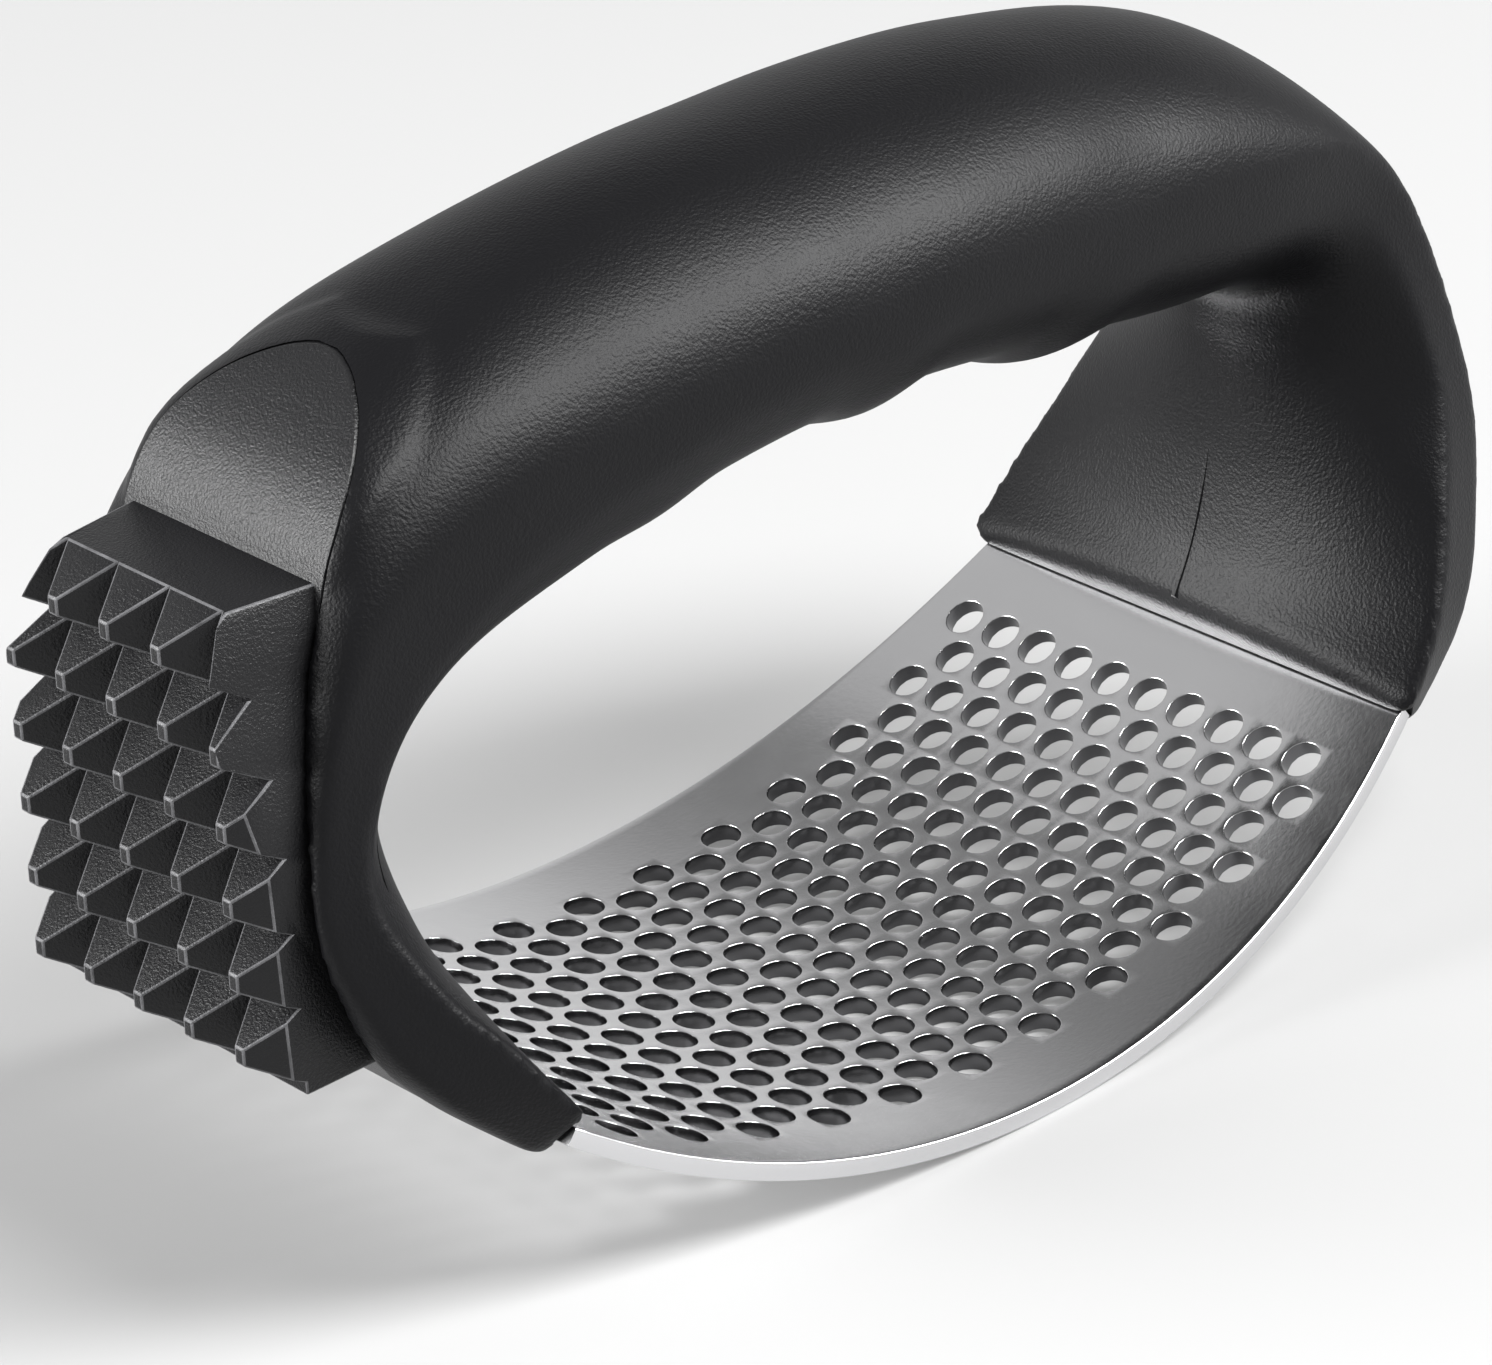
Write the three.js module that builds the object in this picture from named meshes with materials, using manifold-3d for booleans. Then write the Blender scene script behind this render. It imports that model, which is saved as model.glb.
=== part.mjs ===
// Rocker garlic press: an arched handle over a curved, perforated steel plate,
// with a stud block for tenderising meat on one leg.
// Millimetres, +Z up. The press rests on the middle facet of its plate, at the origin.
// +X runs along the arch, away from the stud block; +Y runs across the plate.
import * as THREE from 'three';
import { mergeVertices } from 'three/addons/utils/BufferGeometryUtils.js';
import Module from 'manifold-3d';

const wasm = await Module();
wasm.setup();

// ---- driving dimensions -------------------------------------------------------------

const HOLE_PITCH = 4.2;                 // between holes in one row
const HOLE_RADIUS = 1.68;
const HOLE_SIDES = 6;
const HOLES_PER_ROW = 10;
const ROW_COUNT = 22;
const ROW_ANGLE = THREE.MathUtils.degToRad(2.843);
const PLATE_RADIUS = 76;                // inner face of the plate
const PLATE_THICKNESS = 1.5;
const PLATE_HALF_WIDTH = 27.9;          // at the middle of the plate
const PLATE_TAPER = 4.8;                // lost from the half width at the lips
const SHOULDER_FOLDS = 2;               // folds between the last row and the shoulder
const TANG_TILT = THREE.MathUtils.degToRad(55);
const TANG_HALF_WIDTH = 12;
const TANG_NECK_HALF_WIDTH = 7.5;
const TANG_STEPS = [3.5, 3.5, 3.5];     // root, neck and head of each tang
const GAP = 0.3;                        // between pieces that touch

const LIP_ANGLE = THREE.MathUtils.degToRad(35);
const LIP_INSIDE = PLATE_RADIUS - 3.2;  // the handle's end, above the plate
const LIP_OUTSIDE = PLATE_RADIUS + 3.4; // and below it
const SKIN = 1.4;                       // soft cover over the core
const CORE_WALL = 2.6;
const CORE_SIDE_STEP = 3;               // extra step in, where the legs are thin

const STUD_COLUMNS = 5;
const STUD_ROWS = 6;
const STUD_WIDTH = 5.68;
const STUD_RISE = 5.87;
const STUD_HEIGHT = 4;
const STUD_TIP_WIDTH = 0.95;
const STUD_TIP_RISE = 1.35;
const BLOCK_TOP = -19.5;
const BLOCK_BOTTOM = -55.8;
const BLOCK_FRONT = -60.7;
const PANEL_FACE = -54.5;
const PANEL_THICKNESS = 1.5;
const TONGUE_RIM = 1;                   // of the cover, round the tongue
const TONGUE_STEP_DEPTH = 4;
const TONGUE_STEP_FOOT = -22;

const SCREW_RADIUS = 1.45;
const SCREW_HEAD_RADIUS = 2.8;
const SCREW_HEAD_HEIGHT = 2;
const SCREW_SEAT = 4;                   // where the head bears, from the middle plane
const SCREW_REACH = -6.5;

// The plate's middle facet lies on the table, so its centre of curvature is this high.
const ARC_HEIGHT = (PLATE_RADIUS + PLATE_THICKNESS) * Math.cos(ROW_ANGLE / 2);

// Stations along the handle, from the lip of the stud block's leg over the arch to the
// lip of the plain leg. outer and inner are points on the middle plane, half the width at
// the inner edge, lean how much narrower the outer edge is, edge and band where the side
// face starts and how wide it is as shares of the thickness, crown how square the outer
// face is and hollow how the inner face runs into the edge (0.5 round, 1 a crease).
function lipPoint(radius, side) {
  return [side * radius * Math.sin(LIP_ANGLE), -radius * Math.cos(LIP_ANGLE)];
}
function station(outer, inner, half, lean, edge, band, crown, hollow) {
  return { outer, inner, half, lean, edge, band, crown, hollow };
}
const STATIONS = [
  station(lipPoint(LIP_OUTSIDE, -1), lipPoint(LIP_INSIDE, -1), 23.9, 2.4, 0.34, 0.62, 6, 1),
  station([-53.7, -57.7], [-44.5, -53.8], 22.4, 2.1, 0.34, 0.58, 5, 1),
  station([-58.3, -51.2], [-46.9, -45.6], 19.7, 1.5, 0.52, 0.38, 4, 1),
  station([-60.3, -39.8], [-46.6, -36.8], 16.2, 0.8, 0.66, 0.27, 3, 0.95),
  station([-54.7, -20.6], [-42.9, -32], 14.9, 0.4, 0.4, 0.4, 4.5, 0.7),
  station([-43.2, -9.4], [-30, -29.4], 14.9, 0, 0.46, 0.16, 3, 0.5),
  station([-22.7, -3.9], [-15.2, -26.7], 15.4, 0, 0.46, 0.03, 2, 0.5),
  station([0, -2.7], [0, -25.8], 15.8, 0, 0.45, 0.03, 2, 0.5),
  station([22.7, -3.7], [15.2, -27.5], 15.4, 0, 0.46, 0.03, 2, 0.5),
  station([43.2, -9.4], [30.3, -29.6], 14.8, 0, 0.51, 0.1, 2.1, 0.5),
  station([54.7, -21.1], [43.6, -31.4], 13.9, 0.4, 0.6, 0.32, 2.4, 0.7),
  station([60.5, -39.7], [46.5, -36.6], 16.8, 0.8, 0.6, 0.34, 3, 0.95),
  station([58.6, -51.1], [46.4, -45.6], 20.6, 1.5, 0.44, 0.46, 4, 1),
  station([54.1, -58.1], [44.5, -53.8], 23.4, 2.1, 0.34, 0.58, 5, 1),
  station(lipPoint(LIP_OUTSIDE, 1), lipPoint(LIP_INSIDE, 1), 24.9, 2.4, 0.34, 0.62, 6, 1),
];
const LAST = STATIONS.length - 1;
// Places along the press and heights of the ridges between the fingers.
const FINGER_RIDGES = [[-21.5, 0.6], [-1.5, 1.3], [18.5, 1.4]];
const RIDGE_HALF_LENGTH = 6;

// ---- helpers ------------------------------------------------------------------------

// A closed three.js geometry as a solid that can be joined and cut.
function toSolid(geometry) {
  let bare = geometry.index ? geometry.toNonIndexed() : geometry.clone();
  bare.deleteAttribute('normal');
  bare.deleteAttribute('uv');
  bare = mergeVertices(bare, 1e-4);
  return new wasm.Manifold(new wasm.Mesh({
    numProp: 3,
    vertProperties: new Float32Array(bare.attributes.position.array),
    triVerts: new Uint32Array(bare.index.array),
  }));
}

function toGeometry(solid) {
  const mesh = solid.getMesh();
  const geometry = new THREE.BufferGeometry();
  geometry.setAttribute('position', new THREE.BufferAttribute(new Float32Array(mesh.vertProperties), 3));
  geometry.setIndex(new THREE.BufferAttribute(new Uint32Array(mesh.triVerts), 1));
  geometry.computeVertexNormals();
  return geometry;
}

function fromTriangles(points, triangles) {
  const geometry = new THREE.BufferGeometry();
  geometry.setAttribute('position', new THREE.Float32BufferAttribute(points.flat(), 3));
  geometry.setIndex(triangles.flat());
  return geometry;
}

function box(low, high) {
  const size = high.map((value, axis) => value - low[axis]);
  const geometry = new THREE.BoxGeometry(...size);
  geometry.translate(...low.map((value, axis) => value + size[axis] / 2));
  return toSolid(geometry);
}

// A cylinder along Y from one y to another.
function rod(radius, from, to, sides, x, z) {
  const geometry = new THREE.CylinderGeometry(radius, radius, to - from, sides);
  geometry.translate(0, (from + to) / 2, 0);
  return toSolid(geometry.translate(x, 0, z));
}

// An outline drawn across the press, [half width, height] down one side and mirrored
// to the other, pushed along X between two planes.
function crossPrism(sidePoints, xLow, xHigh) {
  const shape = new THREE.Shape();
  sidePoints.forEach(([half, z], index) => {
    if (index === 0) shape.moveTo(half, z);
    else shape.lineTo(half, z);
  });
  [...sidePoints].reverse().forEach(([half, z]) => {
    if (half > 0) shape.lineTo(-half, z);
  });
  const geometry = new THREE.ExtrudeGeometry(shape, { depth: xHigh - xLow, bevelEnabled: false });
  geometry.rotateX(Math.PI / 2);
  geometry.rotateZ(Math.PI / 2);
  geometry.translate(xLow, 0, 0);
  return toSolid(geometry);
}

// ---- handle -------------------------------------------------------------------------

// One smooth curve for each value that the stations hold, over the whole arch.
function stationCurve(read) {
  const points = STATIONS.map((s) => new THREE.Vector3(...read(s)));
  return new THREE.CatmullRomCurve3(points, false, 'catmullrom', 0.5);
}
const outerCurve = stationCurve((s) => [...s.outer, s.half]);
const innerCurve = stationCurve((s) => [...s.inner, s.lean]);
const edgeCurve = stationCurve((s) => [s.edge, s.band, s.hollow]);
const crownCurve = stationCurve((s) => [s.crown, 0, 0]);

function ridgeLift(x) {
  let lift = 0;
  for (const [centre, height] of FINGER_RIDGES) {
    const reach = Math.abs(x - centre) / RIDGE_HALF_LENGTH;
    if (reach < 1) lift += height * Math.cos(reach * Math.PI / 2) ** 2;
  }
  return lift;
}

// A closed ring of points round the handle at one station, set in by inset all round
// and by sideInset more at the sides.
function ring(place, inset, sideInset, steps) {
  const at = place / LAST;
  const outer = outerCurve.getPoint(at);
  const inner = innerCurve.getPoint(at);
  const edge = edgeCurve.getPoint(at);
  const crown = crownCurve.getPoint(at).x;
  const across = new THREE.Vector2(outer.x - inner.x, outer.y - inner.y).normalize();
  const lift = inset > 0 ? 0 : ridgeLift(inner.x);
  const top = new THREE.Vector2(outer.x, outer.y).addScaledVector(across, -inset);
  const foot = new THREE.Vector2(inner.x, inner.y).addScaledVector(across, inset - lift);
  const points = [];
  for (const side of [1, -1]) {
    for (let step = 0; step <= steps; step++) {
      const turn = side * Math.cos(Math.PI * step / steps);
      const width = outer.z - sideInset - inset - (side > 0 ? inner.z : 0);
      const bulge = side > 0
        ? edge.x + edge.y + (1 - edge.x - edge.y) * Math.max(0, 1 - Math.abs(turn) ** crown) ** 0.5
        : edge.x * (1 - Math.max(0, 1 - turn * turn) ** edge.z);
      const point = foot.clone().lerp(top, bulge);
      points.push([point.x, width * turn, point.y]);
    }
  }
  return points;
}

// The handle between two stations, as rings joined into one closed body.
function loft(from, to, rings, inset, sideInsetAt, steps) {
  const size = 2 * (steps + 1);
  const points = [];
  const triangles = [];
  for (let index = 0; index < rings; index++) {
    const place = from + (to - from) * index / (rings - 1);
    points.push(...ring(place, inset, sideInsetAt(place), steps));
  }
  for (let index = 0; index + 1 < rings; index++) {
    for (let k = 0; k < size; k++) {
      const a = index * size + k;
      const b = index * size + (k + 1) % size;
      triangles.push([a, b, a + size], [b, b + size, a + size]);
    }
  }
  const last = (rings - 1) * size;
  for (let k = 0; k < steps; k++) {
    const mate = size - 1 - k;
    triangles.push([k, mate, k + 1], [k + 1, mate, mate - 1]);
    triangles.push([last + k, last + k + 1, last + mate], [last + k + 1, last + mate - 1, last + mate]);
  }
  return toSolid(fromTriangles(points, triangles));
}

// The core steps further in at the sides of the legs, where the handle gets thin.
function legSideInset(place) {
  const fromEnd = Math.min(place, LAST - place);
  return CORE_SIDE_STEP * THREE.MathUtils.clamp((4.5 - fromEnd) / 1.5, 0, 1);
}

// ---- press plate --------------------------------------------------------------------

// The plate's section as fold points: where it lies, which way its underside faces,
// and how wide it is before and after the fold.
function plateFolds() {
  const side = [];
  for (let k = 0; k < ROW_COUNT / 2 + SHOULDER_FOLDS; k++) {
    const angle = (k + 0.5) * ROW_ANGLE;
    const half = PLATE_HALF_WIDTH - PLATE_TAPER * (angle / LIP_ANGLE) ** 2;
    side.push({ x: PLATE_RADIUS * Math.sin(angle), z: -PLATE_RADIUS * Math.cos(angle),
      nx: Math.sin(angle), nz: -Math.cos(angle), before: half, after: half,
      row: k < ROW_COUNT / 2 ? k : -1 });
  }
  const shoulder = side[side.length - 1];
  const bend = (TANG_TILT + (side.length - 0.5) * ROW_ANGLE) / 2;
  const stretch = 1 / Math.cos(TANG_TILT - bend);
  Object.assign(shoulder, {
    nx: Math.sin(bend) * stretch, nz: -Math.cos(bend) * stretch, after: TANG_HALF_WIDTH });
  const widths = [TANG_HALF_WIDTH, TANG_NECK_HALF_WIDTH, TANG_HALF_WIDTH];
  let along = 0;
  TANG_STEPS.forEach((step, index) => {
    along += step;
    side.push({ x: shoulder.x + along * Math.cos(TANG_TILT), z: shoulder.z + along * Math.sin(TANG_TILT),
      nx: Math.sin(TANG_TILT), nz: -Math.cos(TANG_TILT),
      before: widths[index], after: widths[index + 1] ?? 0, row: -1 });
  });
  const left = side.map((f) => ({ ...f, x: -f.x, nx: -f.nx, before: f.after, after: f.before })).reverse();
  return [...left, ...side];
}

// Hole centres across the plate. Neighbouring rows are half a pitch apart.
function rowCentres(fold, isLeft) {
  if (fold.row < 0) return [];
  const shifted = (fold.row % 2 === 0) !== isLeft;
  const start = -(HOLES_PER_ROW - 0.5) * HOLE_PITCH / 2 + (shifted ? HOLE_PITCH / 2 : 0);
  return Array.from({ length: HOLES_PER_ROW }, (_, k) => start + k * HOLE_PITCH);
}

// The points along one side of a flat facet, from -Y to +Y: the fold line, with half of
// each hole bitten out of it. share is how far across the facet a point lies.
function facetSide(centres, half, step, facetLength, start, direction) {
  const points = [{ share: start, y: -half }];
  if (step < half) points.push({ share: start, y: -step });
  for (const centre of centres) {
    points.push({ share: start, y: centre - HOLE_RADIUS });
    for (let k = 1; k < HOLE_SIDES / 2; k++) {
      const turn = Math.PI * 2 * k / HOLE_SIDES;
      const bite = direction * HOLE_RADIUS * Math.sin(turn) / facetLength;
      points.push({ share: start + bite, y: centre - HOLE_RADIUS * Math.cos(turn) });
    }
    points.push({ share: start, y: centre + HOLE_RADIUS });
  }
  if (step < half) points.push({ share: start, y: step });
  points.push({ share: start, y: half });
  return points;
}

function pressPlate() {
  const folds = plateFolds();
  const points = [];
  const triangles = [];
  function place(a, b, share, y, depth) {
    const rest = 1 - share;
    const x = rest * (a.x + depth * a.nx) + share * (b.x + depth * b.nx);
    const z = rest * (a.z + depth * a.nz) + share * (b.z + depth * b.nz);
    points.push([x, y, z]);
  }
  for (let index = 0; index + 1 < folds.length; index++) {
    const a = folds[index];
    const b = folds[index + 1];
    const length = Math.hypot(b.x - a.x, b.z - a.z);
    const stepA = Math.min(a.before, a.after);
    const stepB = Math.min(b.before, b.after);
    const nearSide = facetSide(rowCentres(a, a.x < 0), a.after, stepA || a.after, length, 0, 1);
    const farSide = facetSide(rowCentres(b, b.x < 0), b.before, stepB || b.before, length, 1, -1);
    const outline = [...nearSide, ...farSide.reverse()];
    const contour = outline.map((p) => new THREE.Vector2(p.share * length, p.y));
    const base = points.length;
    outline.forEach((p) => place(a, b, p.share, p.y, 0));
    outline.forEach((p) => place(a, b, p.share, p.y, PLATE_THICKNESS));
    const count = outline.length;
    for (const [i, j, k] of THREE.ShapeUtils.triangulateShape(contour, [])) {
      triangles.push([base + i, base + j, base + k]);
      triangles.push([base + count + i, base + count + k, base + count + j]);
    }
    outline.forEach((p, i) => {
      const q = outline[(i + 1) % count];
      const onFoldA = p.share === 0 && q.share === 0 && Math.max(Math.abs(p.y), Math.abs(q.y)) <= a.before;
      const onFoldB = p.share === 1 && q.share === 1 && Math.max(Math.abs(p.y), Math.abs(q.y)) <= b.after;
      if (onFoldA || onFoldB) return;
      const next = (i + 1) % count;
      triangles.push([base + i, base + next, base + count + i]);
      triangles.push([base + next, base + count + next, base + count + i]);
    });
  }
  return toSolid(fromTriangles(points, triangles));
}

// Room for the plate's ends: a wide slot at the lip, then a slot shaped like the tang.
// The webs left beside the neck are what locks the plate in.
function tangSlots() {
  const shoulderAngle = (ROW_COUNT / 2 + SHOULDER_FOLDS - 0.5) * ROW_ANGLE;
  const root = [PLATE_RADIUS * Math.sin(shoulderAngle), -PLATE_RADIUS * Math.cos(shoulderAngle)];
  function slot(from, to, half, tilt) {
    const geometry = new THREE.BoxGeometry(to - from, 2 * half, PLATE_THICKNESS + 2 * GAP);
    geometry.translate((from + to) / 2, 0, -PLATE_THICKNESS / 2);
    geometry.rotateY(-tilt);
    return toSolid(geometry.translate(root[0], 0, root[1]));
  }
  const [rootStep, neckStep, headStep] = TANG_STEPS;
  const neckEnd = rootStep + neckStep;
  const right = slot(-3, GAP, PLATE_HALF_WIDTH, shoulderAngle)
    .add(slot(-GAP, rootStep + GAP, TANG_HALF_WIDTH + GAP, TANG_TILT))
    .add(slot(rootStep, neckEnd, TANG_NECK_HALF_WIDTH + GAP, TANG_TILT))
    .add(slot(neckEnd - GAP, neckEnd + headStep + GAP, TANG_HALF_WIDTH + GAP, TANG_TILT));
  return right.add(right.mirror([1, 0, 0]));
}

// ---- tenderiser head ----------------------------------------------------------------

// Half widths of the stud block, from its top face down.
const BLOCK_SIDE = [[0, BLOCK_TOP], [9, BLOCK_TOP], [10.1, -22.5], [11, -25.5], [11.8, -28.3], [12.5, -31.8],
  [13.3, -38], [13.6, BLOCK_BOTTOM], [0, BLOCK_BOTTOM]];
// The block's top corners flare toward the panel: share per mm, and how far down it reaches.
const TOP_FLARE = 0.016;
const FLARE_DEPTH = 6;
// Half widths of the panel round it, from the top of the tongue to the lip.
const PANEL_SIDE = [[0, -8], [5.6, -9.8], [7.9, -11.4], [9.5, -13.3], [10.5, -16], [10.8, -20.5], [11.6, -27],
  [12.9, -33], [14.2, -38.6], [14.9, -44], [15.6, -50.5], [16.2, -56], [16.2, -70], [0, -70]];
// The panel's flat-topped profile, seen from the side: the tongue, the face and the toe.
const PANEL_PROFILE = [[-41, -6.4], [-46.9, -10.6], [-51.5, -15.2], [-54.2, -20.7], [PANEL_FACE, -27],
  [PANEL_FACE, -55.2], [-46.4, -64.6]];

function grow(side, amount) {
  return side.map(([half, z], index) => {
    const lift = index < 2 ? amount : (index >= side.length - 2 ? -amount : 0);
    return [half > 0 ? half + amount : 0, z + lift];
  });
}

// Everything outside the panel's profile, set in by a depth.
function outsideProfile(depth) {
  const shape = new THREE.Shape();
  const inward = PANEL_PROFILE.map(([x, z]) =>
    [x + depth * 0.8, z - (x > -50 && z > -30 ? depth * 0.6 : 0)]);
  shape.moveTo(-90, 10);
  shape.lineTo(inward[0][0], 10);
  inward.forEach(([x, z]) => shape.lineTo(x, z));
  shape.lineTo(inward[inward.length - 1][0], -80);
  shape.lineTo(-90, -80);
  const geometry = new THREE.ExtrudeGeometry(shape, { depth: 60, bevelEnabled: false });
  geometry.rotateX(Math.PI / 2);
  return toSolid(geometry.translate(0, 30, 0));
}

// A flat-tipped pyramid standing on the block's front.
function stud(y, z) {
  const geometry = new THREE.BoxGeometry(STUD_HEIGHT, STUD_WIDTH, STUD_RISE);
  const corners = geometry.attributes.position;
  for (let k = 0; k < corners.count; k++) {
    if (corners.getX(k) > 0) continue;
    corners.setY(k, Math.sign(corners.getY(k)) * STUD_TIP_WIDTH / 2);
    corners.setZ(k, Math.sign(corners.getZ(k)) * STUD_TIP_RISE / 2);
  }
  return toSolid(geometry.translate(BLOCK_FRONT - STUD_HEIGHT / 2, y, z));
}

// The handle's outside: the loft, with a flat step that carries the tongue.
function handleBody() {
  const step = crossPrism(grow(PANEL_SIDE, TONGUE_RIM), -90, -30)
    .intersect(outsideProfile(TONGUE_STEP_DEPTH))
    .intersect(box([-90, -30, TONGUE_STEP_FOOT], [0, 30, 0]))
    .subtract(outsideProfile(0));
  return loft(0, LAST, 61, 0, () => 0, 9).add(step);
}

// Moves one corner of the block's body outward for the flare at its top.
function flareTop(point) {
  const share = Math.max(0, 1 - (BLOCK_TOP - point[2]) / FLARE_DEPTH);
  point[1] *= 1 + TOP_FLARE * share * (point[0] - BLOCK_FRONT);
}

function tenderizerHead(handle) {
  const panel = crossPrism(PANEL_SIDE, -90, -30)
    .intersect(outsideProfile(PANEL_THICKNESS))
    .intersect(handle)
    .subtract(outsideProfile(0));
  let studs = crossPrism(BLOCK_SIDE, BLOCK_FRONT, BLOCK_FRONT + 0.5);
  for (let row = 0; row < STUD_ROWS; row++) {
    for (let column = 0; column < STUD_COLUMNS; column++) {
      const y = (column - (STUD_COLUMNS - 1) / 2) * STUD_WIDTH;
      studs = studs.add(stud(y, BLOCK_TOP - (row + 0.5) * STUD_RISE));
    }
  }
  const block = crossPrism(BLOCK_SIDE, BLOCK_FRONT, -45)
    .warp(flareTop)
    .intersect(outsideProfile(PANEL_THICKNESS))
    .add(studs.intersect(crossPrism(BLOCK_SIDE, -80, -30)));
  return panel.add(block).add(headKey(0)).subtract(tangSlots());
}

// A T-shaped key behind the panel, which the two halves of the core close on.
function headKey(room) {
  const neck = box([-53.2, -2.5 - room, -27.5 - room], [-46.5, 2.5 + room, -22 + room]);
  const flange = box([-47 - room, -5 - room, -27.5 - room], [-44.5 + room, 5 + room, -22 + room]);
  return neck.add(flange);
}

// ---- core and cover -----------------------------------------------------------------

// Where the screws cross the middle plane, and the hollows between them as stretches
// of stations.
const SCREW_PLACES = [[-38, -20], [-12, -14.5], [12, -14.5], [38, -20]];
const HOLLOWS = [[5.25, 6.05], [6.65, 7.35], [7.95, 8.75]];
const CORE_START = 0.5;
const CAVITY_START = 0.44;

function largest(solid) {
  return solid.decompose().reduce((best, body) => (body.volume() > best.volume() ? body : best));
}

function coreHalves() {
  let core = loft(CORE_START, LAST - CORE_START, 33, SKIN + GAP, legSideInset, 6)
    .subtract(outsideProfile(PANEL_THICKNESS + GAP))
    .subtract(tangSlots())
    .subtract(headKey(GAP));
  for (const [from, to] of HOLLOWS) {
    core = core.subtract(loft(from, to, 4, SKIN + GAP + CORE_WALL, () => 0, 5));
  }
  for (const [x, z] of SCREW_PLACES) {
    core = core.subtract(rod(SCREW_RADIUS + GAP, SCREW_REACH - GAP, 30, 12, x, z))
      .subtract(rod(SCREW_HEAD_RADIUS + GAP, SCREW_SEAT - GAP, 30, 16, x, z));
  }
  const front = core.intersect(box([-90, -40, -90], [90, -GAP / 2, 20]));
  const rear = core.intersect(box([-90, GAP / 2, -90], [90, 40, 20]));
  return [largest(front), largest(rear)];
}

function gripCover(handle) {
  const cavity = loft(CAVITY_START, LAST - CAVITY_START, 33, SKIN, legSideInset, 6)
    .subtract(outsideProfile(PANEL_THICKNESS));
  const window = crossPrism(grow(PANEL_SIDE, GAP), -90, -30)
    .intersect(outsideProfile(PANEL_THICKNESS + GAP));
  return largest(handle.subtract(cavity).subtract(window).subtract(tangSlots()));
}

// A pan-head screw along Y with a cross recess, its head at +Y.
function coreScrew(x, z) {
  const profile = [[0, SCREW_REACH], [0.5, SCREW_REACH + 0.8], [SCREW_RADIUS, SCREW_REACH + 2.6],
    [SCREW_RADIUS, SCREW_SEAT], [SCREW_HEAD_RADIUS, SCREW_SEAT],
    [SCREW_HEAD_RADIUS, SCREW_SEAT + SCREW_HEAD_HEIGHT / 2],
    [SCREW_HEAD_RADIUS * 0.7, SCREW_SEAT + SCREW_HEAD_HEIGHT], [0, SCREW_SEAT + SCREW_HEAD_HEIGHT]];
  const body = new THREE.LatheGeometry(profile.map((p) => new THREE.Vector2(...p)), 12);
  const top = SCREW_SEAT + SCREW_HEAD_HEIGHT;
  const recess = box([-1.5, top - 1.2, -0.3], [1.5, top + 1, 0.3])
    .add(box([-0.3, top - 1.2, -1.5], [0.3, top + 1, 1.5]));
  return toSolid(body).subtract(recess).translate([x, 0, z]);
}

// ---- assembly -----------------------------------------------------------------------

const steel = new THREE.MeshStandardMaterial({ color: 0xb9babb, roughness: 0.32, metalness: 1 });
const softBlack = new THREE.MeshStandardMaterial({ color: 0x1f1f22, roughness: 0.55, metalness: 0 });
const hardBlack = new THREE.MeshStandardMaterial({ color: 0x28282b, roughness: 0.45, metalness: 0 });
const coreBlack = new THREE.MeshStandardMaterial({ color: 0x2c2c2e, roughness: 0.7, metalness: 0 });

const press = new THREE.Group();
press.position.z = ARC_HEIGHT;

function addPiece(name, solid, material) {
  const mesh = new THREE.Mesh(toGeometry(solid), material);
  mesh.name = name;
  press.add(mesh);
}

const handle = handleBody();
const [frontHalf, rearHalf] = coreHalves();
addPiece('press_plate', pressPlate(), steel);
addPiece('front_core_half', frontHalf, coreBlack);
addPiece('rear_core_half', rearHalf, coreBlack);
addPiece('soft_grip_cover', gripCover(handle), softBlack);
addPiece('tenderizer_head', largest(tenderizerHead(handle)), hardBlack);
SCREW_PLACES.forEach(([x, z], index) => {
  addPiece(`core_screw_${index + 1}`, coreScrew(x, z), steel);
});

export default press;
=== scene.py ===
# Looks of a rocker garlic press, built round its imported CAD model. Sizes in the tables
# below are millimetres from the plate's centre of curvature; the meshes are in metres.
import math

import bmesh
import bpy
import numpy as np
from mathutils import Euler, Matrix, Vector


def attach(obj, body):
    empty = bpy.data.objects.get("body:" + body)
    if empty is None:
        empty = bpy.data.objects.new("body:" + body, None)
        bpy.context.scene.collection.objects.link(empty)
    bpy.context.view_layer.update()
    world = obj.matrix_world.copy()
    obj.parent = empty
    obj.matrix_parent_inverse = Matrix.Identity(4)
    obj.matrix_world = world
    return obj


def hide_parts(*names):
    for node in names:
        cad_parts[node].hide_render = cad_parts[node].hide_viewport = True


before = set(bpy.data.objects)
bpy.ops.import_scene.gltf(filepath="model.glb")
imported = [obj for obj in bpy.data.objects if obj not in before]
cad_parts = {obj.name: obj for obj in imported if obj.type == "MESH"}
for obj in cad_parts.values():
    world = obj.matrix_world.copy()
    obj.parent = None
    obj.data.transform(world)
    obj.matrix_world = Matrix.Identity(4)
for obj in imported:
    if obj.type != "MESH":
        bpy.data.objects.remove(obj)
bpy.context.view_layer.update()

MM = 0.001

# ---- sizes --------------------------------------------------------------------------

HOLE_PITCH = 4.2
HOLE_RADIUS = 1.66
HOLES_PER_ROW = 10
ROW_COUNT = 22
ROW_ANGLE = math.radians(2.843)
PLATE_RADIUS = 76
PLATE_THICKNESS = 1.5
PLATE_HALF_WIDTH = 27.9
PLATE_TAPER = 4.8
SHOULDER_FOLDS = 2
TANG_TILT = math.radians(55)
TANG_HALF_WIDTH = 12
TANG_NECK_HALF_WIDTH = 7.5
TANG_STEP = 3.5                 # root, neck and head of each tang
SHOULDER_CLEARANCE = 3          # how far the slots reach out from the tangs along the plate
GAP = 0.3

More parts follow.
